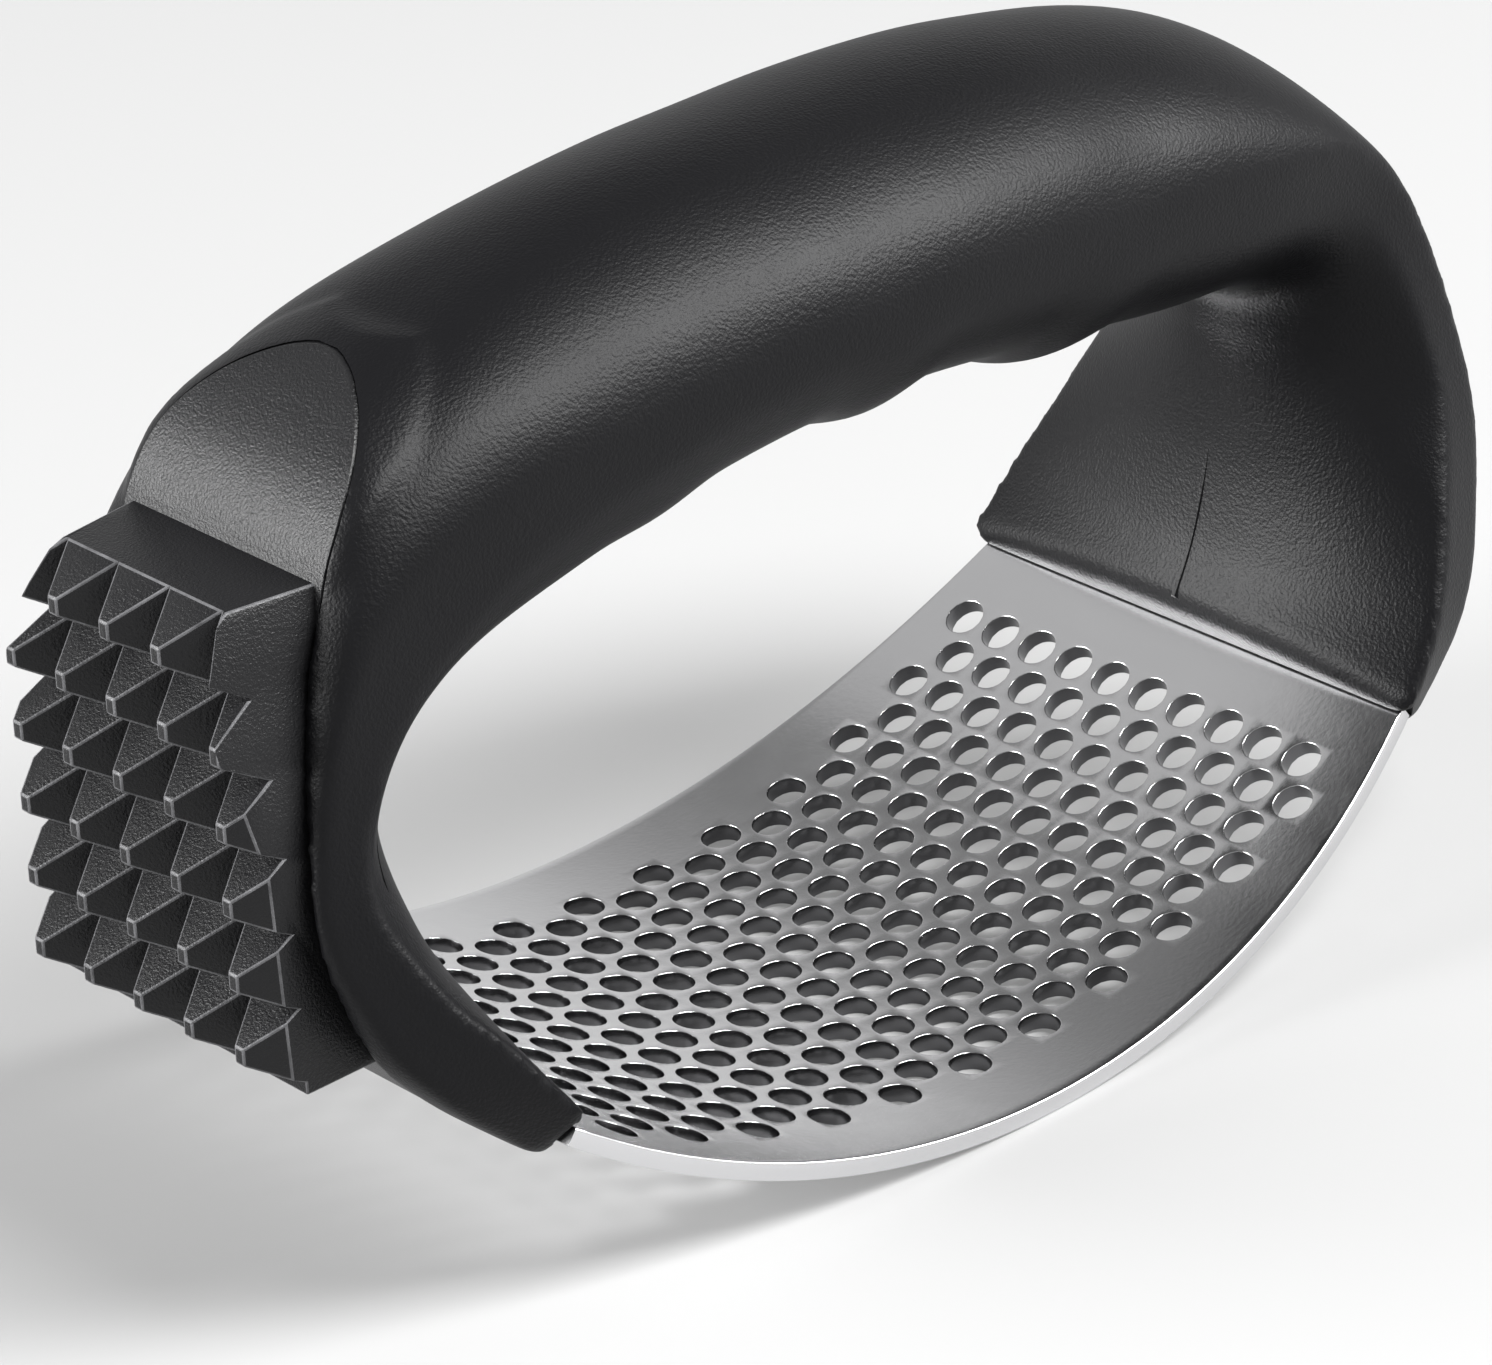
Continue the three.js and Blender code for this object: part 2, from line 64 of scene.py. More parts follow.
LIP_ANGLE = math.radians(35)
LIP_INSIDE = PLATE_RADIUS - 3.2
LIP_OUTSIDE = PLATE_RADIUS + 3.4
LIP_ROUND = 1.3
LIP_STATION_SPACING = 6.4       # between the first two stations, on the inner face
LIP_STATIONS = 8                # rings round each rounded end
SKIN = 1.4
CORE_SIDE_STEP = 3              # extra step in, where the legs are thin
CORE_SIDE_FULL = 3              # stations from the lip that have all of it
CORE_SIDE_END = 4.5             # and where it has faded out
CAVITY_START = 0.44             # in stations from the lip
CAVITY_STATIONS = 49
CAVITY_STEPS = 12
COVER_STATIONS = 260
COVER_STEPS = 60
COVER_VOXEL = 0.47
COVER_SMOOTHING = 11

STUD_COLUMNS = 5
STUD_ROWS = 6
STUD_WIDTH = 5.68
STUD_RISE = 5.87
STUD_HEIGHT = 4
STUD_TIP_WIDTH = 0.95
STUD_TIP_RISE = 1.35
BLOCK_TOP = -19.5
BLOCK_BOTTOM = -55.8
BLOCK_FRONT = -60.7
PANEL_FACE = -54.5
PANEL_THICKNESS = 1.5
SEAM_LENGTH = 1.9               # in stations, from the lip up
SEAM_FOOT = 0.12                # and where it starts above the lip
SEAM_HEIGHT = 0.15
SEAM_WIDTH = 0.5                # to each side, at its root
SEAM_ROOT = 0.5                 # sunk into the cover
SEAM_STATIONS = 40
SEAM_FADE = 12                  # of them, over which it rises from nothing
STUD_ROOT = 0.4                 # sunk into the block
BLOCK_ROOT = 1                  # sunk into the panel
EDGE_ROUND = 0.15               # on the block's and the studs' outer edges
SHORTEST_ROUNDED_EDGE = 0.6
PANEL_GAP = 0.12                # seen between the panel and the cover
PANEL_STATIONS = 240
PANEL_STEPS = 40
FIRST_CARVE = -0.2              # room round the panel in the cut before the cover is smoothed
TONGUE_RIM = 0.2
TONGUE_STEP_DEPTH = 4
TONGUE_STEP_FOOT = -22
TONGUE_STEP_TOP = -7.4
TONGUE_TERRACES = 5             # smoothed into one slope
TERRACE_WIDTH = 0.38
TERRACE_SINK = 0.29
TERRACE_GROWTH = 0.12           # how fast the slope steepens away from the tongue
OUTLINE_STEPS = 6               # pieces between two points of a rounded outline
OUTLINE_SMOOTHING = 14

# How far the cutting prisms reach: along the press on the head's side, across it, up and down.
HEAD_FAR = -90
HEAD_SPAN = (HEAD_FAR, -30)
STUD_SPAN = (-80, -30)
WIDE_SPAN = (-30, 30)
CUT_TOP = 10
CUT_FOOT = -80
# The directions in which prism() pushes an outline.
ALONG, ACROSS = 0, 1

ARC_HEIGHT = (PLATE_RADIUS + PLATE_THICKNESS) * math.cos(ROW_ANGLE / 2)


def lip_point(radius, side):
    return (side * radius * math.sin(LIP_ANGLE), -radius * math.cos(LIP_ANGLE))


# Stations along the handle, from the lip of the stud block's leg over the arch to the lip
# of the plain leg: a point on the outer face, one on the inner face, half width, lean,
# edge, band, crown and hollow.
STATIONS = [
    (lip_point(LIP_OUTSIDE, -1), lip_point(LIP_INSIDE, -1), 23.9, 2.4, 0.34, 0.62, 6, 1),
    ((-53.7, -57.7), (-44.5, -53.8), 22.4, 2.1, 0.34, 0.58, 5, 1),
    ((-58.3, -51.2), (-46.9, -45.6), 19.7, 1.5, 0.52, 0.38, 4, 1),
    ((-60.3, -39.8), (-46.6, -36.8), 16.2, 0.8, 0.66, 0.27, 3, 0.95),
    ((-54.7, -20.6), (-42.9, -32), 14.9, 0.4, 0.4, 0.4, 4.5, 0.7),
    ((-43.2, -9.4), (-30, -29.4), 14.9, 0, 0.46, 0.16, 3, 0.5),
    ((-22.7, -3.9), (-15.2, -26.7), 15.4, 0, 0.46, 0.03, 2, 0.5),
    ((0, -2.7), (0, -25.8), 15.8, 0, 0.45, 0.03, 2, 0.5),
    ((22.7, -3.7), (15.2, -27.5), 15.4, 0, 0.46, 0.03, 2, 0.5),
    ((43.2, -9.4), (30.3, -29.6), 14.8, 0, 0.51, 0.1, 2.1, 0.5),
    ((54.7, -21.1), (43.6, -31.4), 13.9, 0.4, 0.6, 0.32, 2.4, 0.7),
    ((60.5, -39.7), (46.5, -36.6), 16.8, 0.8, 0.6, 0.34, 3, 0.95),
    ((58.6, -51.1), (46.4, -45.6), 20.6, 1.5, 0.44, 0.46, 4, 1),
    ((54.1, -58.1), (44.5, -53.8), 23.4, 2.1, 0.34, 0.58, 5, 1),
    (lip_point(LIP_OUTSIDE, 1), lip_point(LIP_INSIDE, 1), 24.9, 2.4, 0.34, 0.62, 6, 1),
]
LAST = len(STATIONS) - 1
# Places along the press and heights of the ridges between the fingers.
FINGER_RIDGES = ((-21.5, 0.6), (-1.5, 1.3), (18.5, 1.4))
RIDGE_HALF_LENGTH = 6

# Half widths of the stud block and of the panel round it, from the top down.
BLOCK_SIDE = [(9, BLOCK_TOP), (10.1, -22.5), (11, -25.5), (11.8, -28.3), (12.5, -31.8), (13.3, -38),
              (13.6, BLOCK_BOTTOM)]
PANEL_SIDE = [(0, -7.6), (5.6, -9.6), (7.9, -11.3), (9.6, -13.2), (10.6, -16), (10.8, -20.5),
              (11.6, -27), (12.9, -33), (14.2, -38.6), (14.9, -44), (15.6, -50.5), (16.2, -56),
              (16.2, -70)]
# The block's top corners flare toward the panel: share per mm, and how far down it reaches.
TOP_FLARE = 0.016
FLARE_DEPTH = 6
FLARE_FROM = 0.1                # behind the block's front, which keeps its outline
# The flat-topped profile of tongue, panel and toe, seen from the side.
PANEL_PROFILE = [(-41, -6.4), (-46.9, -10.6), (-51.5, -15.2), (-54.2, -20.7), (PANEL_FACE, -27),
                 (PANEL_FACE, -55.2), (-46.4, -64.6)]
PROFILE_BEND = 5                # points of it that are joined by a curve
# How a profile set in by a depth moves: back, and its top also down.
PROFILE_BACK = 0.8
PROFILE_DOWN = 0.6
PROFILE_TOP = (-50, -30)        # its top lies right of this X and above this Z


# ---- mesh helpers -------------------------------------------------------------------

def to_row(points):
    """Millimetres from the centre of curvature to metres in the row frame."""
    return [(x * MM, y * MM, (z + ARC_HEIGHT) * MM) for x, y, z in points]


def make_object(name, points, faces):
    mesh = bpy.data.meshes.new(name)
    mesh.from_pydata(to_row(points), [], faces)
    mesh.validate()
    obj = bpy.data.objects.new(name, mesh)
    bpy.context.scene.collection.objects.link(obj)
    return obj


def tidy_mesh(obj, merge=1e-6):
    """Welds doubled points and turns every face outwards."""
    work = bmesh.new()
    work.from_mesh(obj.data)
    bmesh.ops.remove_doubles(work, verts=work.verts, dist=merge)
    bmesh.ops.recalc_face_normals(work, faces=work.faces)
    work.to_mesh(obj.data)
    work.free()
    return obj


def apply_modifier(obj, kind, **settings):
    modifier = obj.modifiers.new(kind.lower(), kind)
    for key, value in settings.items():
        setattr(modifier, key, value)
    with bpy.context.temp_override(object=obj, active_object=obj, selected_objects=[obj]):
        bpy.ops.object.modifier_apply(modifier=modifier.name)
    return obj


def combine(obj, other, operation):
    """Joins to, cuts from or keeps what obj shares with another closed mesh, which is used up."""
    apply_modifier(obj, "BOOLEAN", operation=operation, solver="MANIFOLD", object=other)
    mesh = other.data
    bpy.data.objects.remove(other)
    bpy.data.meshes.remove(mesh)
    return obj


def prism(name, outline, span, direction):
    """An outline of (y, z) pushed over a span of X (ALONG), or of (x, z) over a span of Y (ACROSS)."""
    points = []
    for reach in span:
        points += [(reach, u, z) if direction == ALONG else (u, reach, z) for u, z in outline]
    count = len(outline)
    faces = [list(range(count)), list(range(2 * count - 1, count - 1, -1))]
    for k in range(count):
        mate = (k + 1) % count
        faces.append([k, k + count, mate + count, mate])
    return tidy_mesh(make_object(name, points, faces))


def smooth_line(points, steps):
    """A rounded line through points, with steps pieces between each two."""
    points = [np.array(p, float) for p in points]
    points = [2 * points[0] - points[1]] + points + [2 * points[-1] - points[-2]]
    line = []
    for k in range(1, len(points) - 2):
        for step in range(steps):
            line.append(catmull_rom(points[k - 1:k + 3], step / steps))
    line.append(points[-2])
    return line


def catmull_rom(four, t):
    a, b, c, d = four
    return b + 0.5 * t * ((c - a) + t * ((2 * a - 5 * b + 4 * c - d) + t * (3 * (b - c) + d - a)))


# ---- handle -------------------------------------------------------------------------

def station_values(station):
    """Outer x, z, inner x, z, half width, lean, edge, band, crown and hollow at a station."""
    def row(index):
        outer, inner, *rest = STATIONS[index]
        return np.array([*outer, *inner, *rest], float)
    place = min(max(station, 0), LAST - 1e-9)       # the last station counts as just before it
    k = math.floor(place)
    near, far = row(k), row(k + 1)
    before = row(k - 1) if k > 0 else 2 * near - far
    after = row(k + 2) if k + 1 < LAST else 2 * far - near
    return catmull_rom((before, near, far, after), place - k)


def ridge_lift(x):
    lift = 0
    for centre, height in FINGER_RIDGES:
        reach = abs(x - centre) / RIDGE_HALF_LENGTH
        if reach < 1:
            lift += height * math.cos(reach * math.pi / 2) ** 2
    return lift


def ring(station, inset, side_inset, steps):
    """A closed ring of points round the handle, as in the CAD."""
    ox, oz, ix, iz, half, lean, edge, band, crown, hollow = station_values(station)
    across = Vector((ox - ix, oz - iz)).normalized()
    lift = 0 if inset > 1 else ridge_lift(ix)
    top = Vector((ox, oz)) - across * inset
    foot = Vector((ix, iz)) + across * (inset - lift)
    points = []
    for side in (1, -1):
        for step in range(steps + 1):
            turn = side * math.cos(math.pi * step / steps)
            width = half - side_inset - inset - (lean if side > 0 else 0)
            if side > 0:
                arch = max(0, 1 - abs(turn) ** crown) ** 0.5
                bulge = edge + band + (1 - edge - band) * arch
            else:
                bulge = edge * (1 - max(0, 1 - turn * turn) ** hollow)
            place = foot.lerp(top, bulge)
            points.append((place.x, width * turn, place.y))
    return points


def loft(name, stations, inset_at, side_inset_at, steps):
    """The handle through a list of stations as one closed mesh."""
    size = 2 * (steps + 1)
    points = []
    faces = []
    for station in stations:
        points += ring(station, inset_at(station), side_inset_at(station), steps)
    for index in range(len(stations) - 1):
        for k in range(size):
            a = index * size + k
            b = index * size + (k + 1) % size
            faces.append([a, b, b + size, a + size])
    last = (len(stations) - 1) * size
    for k in range(steps):
        mate = size - 1 - k
        faces.append([k, mate, mate - 1, k + 1])
        faces.append([last + k, last + k + 1, last + mate - 1, last + mate])
    return tidy_mesh(make_object(name, points, faces))


def leg_side_inset(station):
    """How much further in the core lies at the sides, where the legs are thin."""
    from_end = min(station, LAST - station)
    fade = (CORE_SIDE_END - from_end) / (CORE_SIDE_END - CORE_SIDE_FULL)
    return CORE_SIDE_STEP * min(max(fade, 0), 1)


def outside_profile(name, depth):
    """Everything outside the panel's profile, set in by a depth."""
    line = []
    for x, z in PANEL_PROFILE:
        drop = depth * PROFILE_DOWN if x > PROFILE_TOP[0] and z > PROFILE_TOP[1] else 0
        line.append((x + depth * PROFILE_BACK, z - drop))
    bend = [tuple(p) for p in smooth_line(line[:PROFILE_BEND], OUTLINE_STEPS)]
    above = [(HEAD_FAR, CUT_TOP), (line[0][0], CUT_TOP)]
    below = [(line[-1][0], CUT_FOOT), (HEAD_FAR, CUT_FOOT)]
    return prism(name, above + bend + line[PROFILE_BEND:] + below, WIDE_SPAN, ACROSS)


def panel_outline(room):
    """The panel's outline across the press, both sides, grown by some room."""
    mirrored = [(-half, z) for half, z in reversed(PANEL_SIDE[1:4])]
    line = np.array(smooth_line(mirrored + PANEL_SIDE, OUTLINE_STEPS))
    for _ in range(OUTLINE_SMOOTHING):
        line[1:-1] = (line[:-2] + 2 * line[1:-1] + line[2:]) / 4
    line = line[(len(mirrored) - 1) * OUTLINE_STEPS:]
    side = []
    for k, point in enumerate(line):
        along = line[min(k + 1, len(line) - 1)] - line[max(k - 1, 0)]
        outward = np.array([-along[1], along[0]]) / np.linalg.norm(along)
        half, z = point + outward * room
        if half > 0:
            side.append((half, z))
    return side + [(-half, z) for half, z in reversed(side)]


def tang_slots():
    """Room for the plate's ends in both legs."""
    shoulder = (ROW_COUNT / 2 + SHOULDER_FOLDS - 0.5) * ROW_ANGLE
    root = Vector((PLATE_RADIUS * math.sin(shoulder), -PLATE_RADIUS * math.cos(shoulder)))
    top, foot = -GAP, PLATE_THICKNESS + GAP
    whole = None
    for sign in (1, -1):
        for start, end, half, tilt in (
            (-SHOULDER_CLEARANCE, GAP, PLATE_HALF_WIDTH, shoulder),
            (-GAP, TANG_STEP + GAP, TANG_HALF_WIDTH + GAP, TANG_TILT),
            (TANG_STEP, 2 * TANG_STEP, TANG_NECK_HALF_WIDTH + GAP, TANG_TILT),
            (2 * TANG_STEP - GAP, 3 * TANG_STEP + GAP, TANG_HALF_WIDTH + GAP, TANG_TILT),
        ):
            along = Vector((math.cos(tilt), math.sin(tilt)))
            down = Vector((math.sin(tilt), -math.cos(tilt)))
            corners = []
            for reach, depth in ((start, top), (end, top), (end, foot), (start, foot)):
                corner = root + along * reach + down * depth
                corners.append((sign * corner.x, corner.y))
            slot = prism("slot", corners, (-half, half), ACROSS)
            whole = combine(whole, slot, "UNION") if whole else slot
    return whole


def lip_inset(station):
    """How far the handle's ends are rounded in, close to the lip."""
    reach = min(station, LAST - station) * LIP_STATION_SPACING
    if reach >= LIP_ROUND:
        return 0
    return LIP_ROUND - math.sqrt(LIP_ROUND ** 2 - (LIP_ROUND - reach) ** 2)


def handle_stations():
    """Stations from lip to lip, closer together where the ends are rounded."""
    rounded = LIP_ROUND / LIP_STATION_SPACING
    near_lip = [rounded * (1 - math.cos(k * math.pi / 2 / LIP_STATIONS)) for k in range(LIP_STATIONS)]
    body = list(np.linspace(rounded, LAST - rounded, COVER_STATIONS))
    return near_lip + body + [LAST - s for s in reversed(near_lip)]


def handle_body(name, stations, inset_at, steps):
    """The handle's outside: the loft, with a step that carries the tongue and falls off round it."""
    body = loft(name, stations, inset_at, lambda s: 0, steps)
    reach = [(HEAD_FAR, TONGUE_STEP_FOOT), (0, TONGUE_STEP_FOOT),
             (0, TONGUE_STEP_TOP), (HEAD_FAR, TONGUE_STEP_TOP)]
    for terrace in range(TONGUE_TERRACES):
        step = prism("step", panel_outline(TONGUE_RIM + terrace * TERRACE_WIDTH), HEAD_SPAN, ALONG)
        combine(step, outside_profile("step_back", TONGUE_STEP_DEPTH), "INTERSECT")
        sink = TERRACE_SINK * terrace * (1 + TERRACE_GROWTH * terrace)
        combine(step, outside_profile("step_front", sink), "DIFFERENCE")
        combine(step, prism("step_reach", reach, WIDE_SPAN, ACROSS), "INTERSECT")
        combine(body, step, "UNION")
    return body


def make_cover():
    """The soft skin, remeshed so that its edges soften, with its pocket, cavity and slots."""
    cover = handle_body("soft_cover", handle_stations(), lip_inset, COVER_STEPS)
    carve = prism("carve", panel_outline(FIRST_CARVE), HEAD_SPAN, ALONG)
    combine(carve, outside_profile("carve_profile", 0), "INTERSECT")
    combine(cover, carve, "DIFFERENCE")
    apply_modifier(cover, "REMESH", mode="VOXEL", voxel_size=COVER_VOXEL * MM)
    apply_modifier(cover, "SMOOTH", factor=0.5, iterations=COVER_SMOOTHING)
    pocket = prism("pocket", panel_outline(PANEL_GAP), HEAD_SPAN, ALONG)
    combine(pocket, outside_profile("pocket_profile", PANEL_THICKNESS + GAP), "INTERSECT")
    combine(cover, pocket, "DIFFERENCE")
    combine(cover, seam(), "UNION")
    stations = list(np.linspace(CAVITY_START, LAST - CAVITY_START, CAVITY_STATIONS))
    cavity = loft("cavity", stations, lambda s: SKIN, leg_side_inset, CAVITY_STEPS)
    combine(cavity, outside_profile("cavity_profile", PANEL_THICKNESS), "DIFFERENCE")
    combine(cover, cavity, "DIFFERENCE")
    combine(cover, tang_slots(), "DIFFERENCE")
    keep_largest(cover)
    return cover


def seam():
    """The mould's parting line: a fine ridge down the middle of the plain leg's inner face."""
    points = []
    faces = []
    stations = np.linspace(LAST - SEAM_LENGTH, LAST - SEAM_FOOT, SEAM_STATIONS)
    for index, station in enumerate(stations):
        ox, oz, ix, iz, *_ = station_values(station)
        across = Vector((ox - ix, oz - iz)).normalized()
        rise = SEAM_HEIGHT * min(1, index / SEAM_FADE)
        root = Vector((ix, iz)) + across * SEAM_ROOT
        crest = Vector((ix, iz)) - across * rise
        points += [(root.x, -SEAM_WIDTH, root.y), (crest.x, -SEAM_WIDTH / 3, crest.y),
                   (crest.x, SEAM_WIDTH / 3, crest.y), (root.x, SEAM_WIDTH, root.y)]
        if index:
            base = 4 * (index - 1)
            for k in range(4):
                mate = (k + 1) % 4
                faces.append([base + k, base + mate, base + mate + 4, base + k + 4])
    last = 4 * (len(stations) - 1)
    faces += [[3, 2, 1, 0], [last, last + 1, last + 2, last + 3]]
    return tidy_mesh(make_object("seam", points, faces))


def keep_largest(obj):
    """Drops loose slivers that the cuts leave."""
    work = bmesh.new()
    work.from_mesh(obj.data)
    work.verts.ensure_lookup_table()
    seen = set()
    islands = []
    for start in work.verts:
        if start.index in seen:
            continue
        island = []
        queue = [start]
        seen.add(start.index)
        while queue:
            vert = queue.pop()
            island.append(vert)
            for link in vert.link_edges:
                other = link.other_vert(vert)
                if other.index not in seen:
                    seen.add(other.index)
                    queue.append(other)
        islands.append(island)
    islands.sort(key=len, reverse=True)
    stray = [v for island in islands[1:] for v in island]
    bmesh.ops.delete(work, geom=stray, context="VERTS")
    work.to_mesh(obj.data)
    work.free()


# ---- tenderiser head ----------------------------------------------------------------

PLAIN, ROUNDED = 0, 1           # the slots that tell plain faces from rounded edges
ROUNDED_FROM = math.radians(20)
SIDE_LEAN = 0.05                # the most that a side face's normal leans along the press
STUD_WELD = 0.01
FLAT_ENOUGH = 0.01              # radians between faces that are joined to one


def marked(obj):
    """Gives a mesh both slots, its faces all plain."""
    for name in ("plain", "rounded"):
        obj.data.materials.append(bpy.data.materials.get(name) or bpy.data.materials.new(name))
    return obj


def round_edges(obj, chosen):
    """Rounds the sharp outer edges that chosen(edge) picks, and marks the rounding."""
    work = bmesh.new()
    work.from_mesh(obj.data)
    work.normal_update()
    ridges = [edge for edge in work.edges
              if edge.is_convex and edge.calc_face_angle(0) > ROUNDED_FROM and chosen(edge)]
    bmesh.ops.bevel(work, geom=ridges, offset=EDGE_ROUND * MM, segments=2, profile=0.5,
                    affect="EDGES", clamp_overlap=False, material=ROUNDED)
    work.to_mesh(obj.data)
    work.free()


def block_edge(edge):
    """An edge where a side of the block meets the studs, long enough to round."""
    level = [abs(face.normal.x) < SIDE_LEAN for face in edge.link_faces]
    return any(level) and edge.calc_length() > SHORTEST_ROUNDED_EDGE * MM


def stud(y, z):
    """A flat-tipped pyramid standing on the block's front, its outer edges rounded."""
    grow = 1 + STUD_ROOT / STUD_HEIGHT
    points = []
    for x, half, up in ((BLOCK_FRONT + STUD_ROOT, STUD_WIDTH / 2 * grow, STUD_RISE / 2 * grow),
                        (BLOCK_FRONT - STUD_HEIGHT, STUD_TIP_WIDTH / 2, STUD_TIP_RISE / 2)):
        points += [(x, y - half, z - up), (x, y + half, z - up)]
        points += [(x, y + half, z + up), (x, y - half, z + up)]
    faces = [[0, 1, 2, 3], [7, 6, 5, 4]] + [[k, k + 4, (k + 1) % 4 + 4, (k + 1) % 4] for k in range(4)]
    peg = marked(tidy_mesh(make_object("stud", points, faces)))
    round_edges(peg, lambda edge: any(vertex.co.x < BLOCK_FRONT * MM for vertex in edge.verts))
    return peg


def flare_top(block):
    """Leans the block's side faces out behind its front, most at the top."""
    for vertex in block.data.vertices:
        depth = vertex.co.x / MM - BLOCK_FRONT
        drop = BLOCK_TOP + ARC_HEIGHT - vertex.co.z / MM
        if depth > FLARE_FROM:
            vertex.co.y *= 1 + TOP_FLARE * depth * max(0, 1 - drop / FLARE_DEPTH)


def mark_edges(obj):
    """Notes which faces are rounded edges, for the material's painted highlight, and leaves one slot in
    use.
    """
    count = len(obj.data.polygons)
    index = [0] * count
    obj.data.polygons.foreach_get("material_index", index)
    attribute = obj.data.attributes.new("edge", "FLOAT", "FACE")
    attribute.data.foreach_set("value", [float(k == ROUNDED) for k in index])
    obj.data.polygons.foreach_set("material_index", [PLAIN] * count)


def make_head():
    """The studded block on its panel, whose face follows the handle's outside."""
    outline = BLOCK_SIDE + [(-half, z) for half, z in reversed(BLOCK_SIDE)]
    block = marked(prism("block", outline, (BLOCK_FRONT, PANEL_FACE + BLOCK_ROOT), ALONG))
    for row in range(STUD_ROWS):
        for column in range(STUD_COLUMNS):
            y = (column - (STUD_COLUMNS - 1) / 2) * STUD_WIDTH
            combine(block, stud(y, BLOCK_TOP - (row + 0.5) * STUD_RISE), "UNION")
    combine(block, marked(prism("trim", outline, STUD_SPAN, ALONG)), "INTERSECT")
    work = bmesh.new()
    work.from_mesh(block.data)
    bmesh.ops.remove_doubles(work, verts=work.verts, dist=STUD_WELD * MM)
    bmesh.ops.dissolve_limit(work, angle_limit=FLAT_ENOUGH, verts=work.verts, edges=work.edges,
                             delimit={"MATERIAL"})
    work.to_mesh(block.data)
    work.free()
    round_edges(block, block_edge)
    flare_top(block)
    handle = handle_body("handle", list(np.linspace(0, LAST, PANEL_STATIONS)), lambda s: 0, PANEL_STEPS)
    panel = marked(prism("panel", panel_outline(0), HEAD_SPAN, ALONG))
    combine(panel, marked(outside_profile("panel_back", PANEL_THICKNESS)), "INTERSECT")
    combine(panel, marked(handle), "INTERSECT")
    combine(panel, marked(outside_profile("panel_front", 0)), "DIFFERENCE")
    panel.name = "tenderizer_block"
    combine(panel, block, "UNION")
    mark_edges(panel)
    return panel


# ---- plate --------------------------------------------------------------------------

CELL_STEPS = 8                  # pieces along the long side of one hole's cell
CELL_SIDE_STEPS = CELL_STEPS // 2
CELL_ROUND = 2 * (CELL_STEPS + CELL_SIDE_STEPS)
MARGIN_STEPS = 6                # pieces across the plain margins
ROW_SPAN = HOLES_PER_ROW + 0.5  # a row and its neighbour's shift, in pitches
RIM_ROUND = 0.45                # on the plate's own rim
HOLE_ROUND_SHARE = 0.4          # of it, on the holes' rims
CELL_WELD = 0.002


def plate_point(angle, y, depth):
    radius = PLATE_RADIUS + depth
    return (radius * math.sin(angle), y, -radius * math.cos(angle))


def plate_half_width(angle):
    return PLATE_HALF_WIDTH - PLATE_TAPER * (angle / LIP_ANGLE) ** 2


def cell_border():
    """A hole cell's border as (share of pitch, share of row) from the centre, all round."""
    long_side = [(-0.5 + k / CELL_STEPS, -0.5) for k in range(CELL_STEPS)]
    short_side = [(0.5, -0.5 + k / CELL_SIDE_STEPS) for k in range(CELL_SIDE_STEPS)]
    half_way = long_side + short_side
    return half_way + [(-u, -v) for u, v in half_way]


def make_plate():
    """The sheet, drawn flat as one cell for each hole with plain margins, then rolled."""
    flat = []       # (angle, y) of each point
    faces = []
    border = cell_border()
    edge = ROW_SPAN / 2 * HOLE_PITCH

    def add(angle, y):
        flat.append((angle, y))
        return len(flat) - 1

    def grid(angles, ys):
        """A patch of quads; ys gives the y of each column at an angle."""
        rows = [[add(angle, y) for y in ys(angle)] for angle in angles]
        for low, high in zip(rows, rows[1:]):
            for k in range(len(low) - 1):
                faces.append([low[k], low[k + 1], high[k + 1], high[k]])

    def margin(angle, first):
        """The y of each column from the holes' edge to the plate's rim, at an angle."""
        room = plate_half_width(angle) - edge
        return [edge + room * k / MARGIN_STEPS for k in range(first, MARGIN_STEPS + 1)]

    for row in range(ROW_COUNT):
        middle = (row - (ROW_COUNT - 1) / 2) * ROW_ANGLE
        shifted = row % 2 == 1
        start = -ROW_SPAN / 2 + (0.5 if shifted else 0)
        for column in range(HOLES_PER_ROW):
            centre = (start + column + 0.5) * HOLE_PITCH
            outer, inner = [], []
            for u, v in border:
                outer.append(add(middle + v * ROW_ANGLE, centre + u * HOLE_PITCH))
                turn = math.atan2(v * ROW_ANGLE * PLATE_RADIUS, u * HOLE_PITCH)
                angle = middle + HOLE_RADIUS * math.sin(turn) / PLATE_RADIUS
                inner.append(add(angle, centre + HOLE_RADIUS * math.cos(turn)))
            for k in range(CELL_ROUND):
                mate = (k + 1) % CELL_ROUND
                faces.append([outer[k], outer[mate], inner[mate], inner[k]])
        blank = -ROW_SPAN / 2 if shifted else ROW_SPAN / 2 - 0.5
        shares = [k / CELL_SIDE_STEPS for k in range(CELL_SIDE_STEPS + 1)]
        angles = [middle + (share - 0.5) * ROW_ANGLE for share in shares]
        ys = [(blank + 0.5 * share) * HOLE_PITCH for share in shares]
        grid(angles, lambda angle: ys)
        for sign in (1, -1):
            grid(angles, lambda angle: [sign * y for y in margin(angle, 0)])

    columns = int(ROW_SPAN * CELL_STEPS)
    inside = [-edge + 2 * edge * k / columns for k in range(columns + 1)]

    def across(angle):
        outside = margin(angle, 1)
        return [-y for y in reversed(outside)] + inside + outside

    first = ROW_COUNT / 2 * ROW_ANGLE
    shoulder = (ROW_COUNT / 2 + SHOULDER_FOLDS - 0.5) * ROW_ANGLE
    steps = [first + (shoulder - first) * k / MARGIN_STEPS for k in range(MARGIN_STEPS + 1)]
    for sign in (1, -1):
        grid([sign * angle for angle in steps], across)
    return plate_from_sheet(flat, faces)


